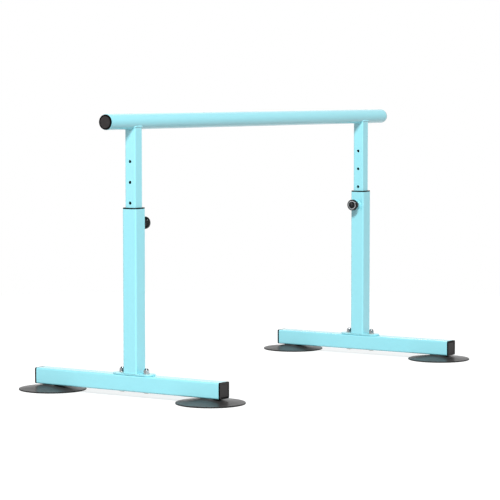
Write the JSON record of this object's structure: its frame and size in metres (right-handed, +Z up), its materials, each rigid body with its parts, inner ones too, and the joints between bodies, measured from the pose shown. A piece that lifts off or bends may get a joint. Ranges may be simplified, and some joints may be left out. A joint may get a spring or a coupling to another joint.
{
  "type": "freestanding ballet barre",
  "caption": "Low round barre on telescopic square posts with sprung locking pins, standing on long foot tubes with suction cups.",
  "frame": {"origin": "on the floor, below the middle of the barre", "axes": "+X along the barre, +Y horizontal along the foot tubes, +Z up"},
  "size_m": [1.31, 0.67, 0.686],
  "materials": {
    "turquoise_paint": "pale turquoise gloss paint on steel tube",
    "black_plastic": "satin black moulded plastic",
    "black_rubber": "satin black rubber",
    "zinc_plated_steel": "zinc-plated steel",
    "chrome_plate": "bright chrome plate",
    "gloss_black_plastic": "gloss black moulded plastic"
  },
  "bodies": {
    "base": {"left_foot_tube": "turquoise_paint", "right_foot_tube": "turquoise_paint", "left_front_foot_end_cap": "black_plastic", "left_rear_foot_end_cap": "black_plastic", "right_front_foot_end_cap": "black_plastic", "right_rear_foot_end_cap": "black_plastic", "left_front_suction_cup": "black_rubber", "left_rear_suction_cup": "black_rubber", "right_front_suction_cup": "black_rubber", "right_rear_suction_cup": "black_rubber", "left_front_cup_stud": "zinc_plated_steel", "left_rear_cup_stud": "zinc_plated_steel", "right_front_cup_stud": "zinc_plated_steel", "right_rear_cup_stud": "zinc_plated_steel", "left_front_cup_nut": "zinc_plated_steel", "left_rear_cup_nut": "zinc_plated_steel", "right_front_cup_nut": "zinc_plated_steel", "right_rear_cup_nut": "zinc_plated_steel", "left_base_plate": "turquoise_paint", "right_base_plate": "turquoise_paint", "left_front_base_bolt": "zinc_plated_steel", "left_rear_base_bolt": "zinc_plated_steel", "right_front_base_bolt": "zinc_plated_steel", "right_rear_base_bolt": "zinc_plated_steel", "left_front_base_washer": "zinc_plated_steel", "left_rear_base_washer": "zinc_plated_steel", "right_front_base_washer": "zinc_plated_steel", "right_rear_base_washer": "zinc_plated_steel", "left_front_dome_nut": "chrome_plate", "left_rear_dome_nut": "chrome_plate", "right_front_dome_nut": "chrome_plate", "right_rear_dome_nut": "chrome_plate", "left_lower_post": "turquoise_paint", "right_lower_post": "turquoise_paint", "left_guide_collar": "black_plastic", "right_guide_collar": "black_plastic", "left_plunger_boss": "turquoise_paint", "right_plunger_boss": "turquoise_paint", "left_plunger_barrel": "zinc_plated_steel", "right_plunger_barrel": "zinc_plated_steel", "left_plunger_spring": "zinc_plated_steel", "right_plunger_spring": "zinc_plated_steel"},
    "upper_frame": {"barre_tube": "turquoise_paint", "left_barre_end_cap": "black_plastic", "right_barre_end_cap": "black_plastic", "left_upper_post": "turquoise_paint", "right_upper_post": "turquoise_paint", "left_post_end_guide": "black_plastic", "right_post_end_guide": "black_plastic"},
    "left_pin": {"left_plunger_pin": "zinc_plated_steel", "left_plunger_knob": "gloss_black_plastic"},
    "right_pin": {"right_plunger_pin": "zinc_plated_steel", "right_plunger_knob": "gloss_black_plastic"}
  },
  "joints": [
    {"name": "height_slide", "type": "slide", "parent": "base", "child": "upper_frame", "axis": [0, 0, 1], "range_m": [-0.15, 0.15]},
    {"name": "left_pin_pull", "type": "slide", "parent": "base", "child": "left_pin", "axis": [1, 0, 0], "range_m": [0, 0.008], "stiffness_N_per_m": 800, "springref_m": -0.01, "deforming": ["left_plunger_spring"]},
    {"name": "right_pin_pull", "type": "slide", "parent": "base", "child": "right_pin", "axis": [-1, 0, 0], "range_m": [0, 0.008], "stiffness_N_per_m": 800, "springref_m": -0.01, "deforming": ["right_plunger_spring"]}
  ]
}
